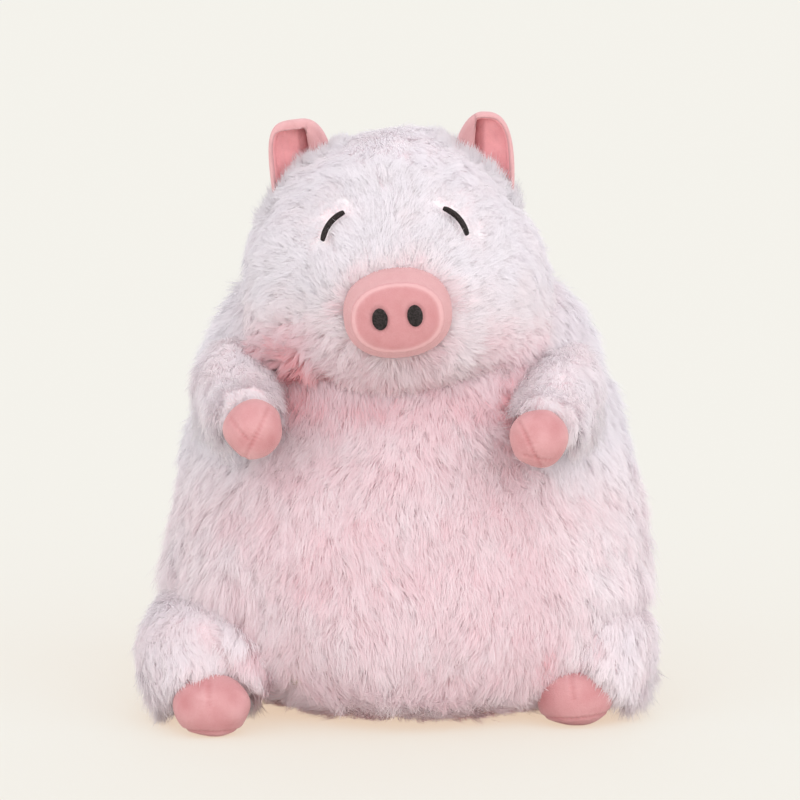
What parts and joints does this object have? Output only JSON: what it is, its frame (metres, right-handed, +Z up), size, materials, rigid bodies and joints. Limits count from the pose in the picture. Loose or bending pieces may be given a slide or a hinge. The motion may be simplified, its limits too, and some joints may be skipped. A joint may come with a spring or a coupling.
{
  "type": "seated plush pig",
  "caption": "Seated stuffed pig in long-pile plush, with velour snout, ears, hands and feet on soft sewn joints.",
  "frame": {"origin": "on the floor under the middle of the toy's own box", "axes": "+Z up, -Y the way the pig faces, +X towards the viewer's right when looking at its face"},
  "size_m": [0.2834, 0.2212, 0.33],
  "materials": {
    "plush_pile": "matte",
    "velour": "matte",
    "satin_stitch": "satin",
    "fibre_filling": "matte",
    "pouch_cotton": "matte"
  },
  "bodies": {
    "torso": {"torso_plush": "plush_pile", "torso_filling": "fibre_filling", "weight_pouch": "pouch_cotton"},
    "head": {"head_plush": "plush_pile", "head_filling": "fibre_filling", "snout_band": "velour", "snout_front": "velour", "snout_filling": "fibre_filling", "nostril_left": "satin_stitch", "nostril_right": "satin_stitch", "eye_left": "satin_stitch", "eye_right": "satin_stitch"},
    "ear_left": {"ear_left_back": "velour", "ear_left_lining": "velour"},
    "ear_right": {"ear_right_back": "velour", "ear_right_lining": "velour"},
    "arm_left": {"arm_left_plush": "plush_pile", "hand_left": "velour", "arm_left_filling": "fibre_filling"},
    "arm_right": {"arm_right_plush": "plush_pile", "hand_right": "velour", "arm_right_filling": "fibre_filling"},
    "leg_left": {"leg_left_plush": "plush_pile", "foot_left": "velour", "leg_left_filling": "fibre_filling"},
    "leg_right": {"leg_right_plush": "plush_pile", "foot_right": "velour", "leg_right_filling": "fibre_filling"},
    "tail": {"tail": "velour"}
  },
  "joints": [
    {"name": "neck_nod", "type": "hinge", "parent": "torso", "child": "head", "pos_m": [0.00061, 0.013, 0.2], "axis": [1, 0, 0], "range_deg": [-12, 8], "stiffness_Nm_per_rad": 2.5},
    {"name": "ear_left_fold", "type": "hinge", "parent": "head", "child": "ear_left", "pos_m": [-0.05011, -0.003, 0.30405], "axis": [0.8059, 0, 0.592], "range_deg": [-12, 22], "stiffness_Nm_per_rad": 0.02},
    {"name": "ear_right_fold", "type": "hinge", "parent": "head", "child": "ear_right", "pos_m": [0.04282, -0.003, 0.30778], "axis": [0.8508, 0, -0.5255], "range_deg": [-12, 22], "stiffness_Nm_per_rad": 0.02},
    {"name": "arm_left_swing", "type": "hinge", "parent": "torso", "child": "arm_left", "pos_m": [-0.08185, 0.033, 0.189], "axis": [0, 0, -1], "range_deg": [0, 35], "stiffness_Nm_per_rad": 0.25},
    {"name": "arm_right_swing", "type": "hinge", "parent": "torso", "child": "arm_right", "pos_m": [0.08307, 0.033, 0.189], "axis": [0, 0, 1], "range_deg": [0, 35], "stiffness_Nm_per_rad": 0.25},
    {"name": "leg_left_swing", "type": "hinge", "parent": "torso", "child": "leg_left", "pos_m": [-0.08675, 0.033, 0.04], "axis": [0, 0, -1], "range_deg": [0, 25], "stiffness_Nm_per_rad": 0.4},
    {"name": "leg_right_swing", "type": "hinge", "parent": "torso", "child": "leg_right", "pos_m": [0.08797, 0.033, 0.04], "axis": [0, 0, 1], "range_deg": [0, 25], "stiffness_Nm_per_rad": 0.4},
    {"name": "tail_wag", "type": "hinge", "parent": "torso", "child": "tail", "pos_m": [0.00061, 0.09061, 0.062], "axis": [0, 0, 1], "range_deg": [-25, 25], "stiffness_Nm_per_rad": 0.01}
  ]
}
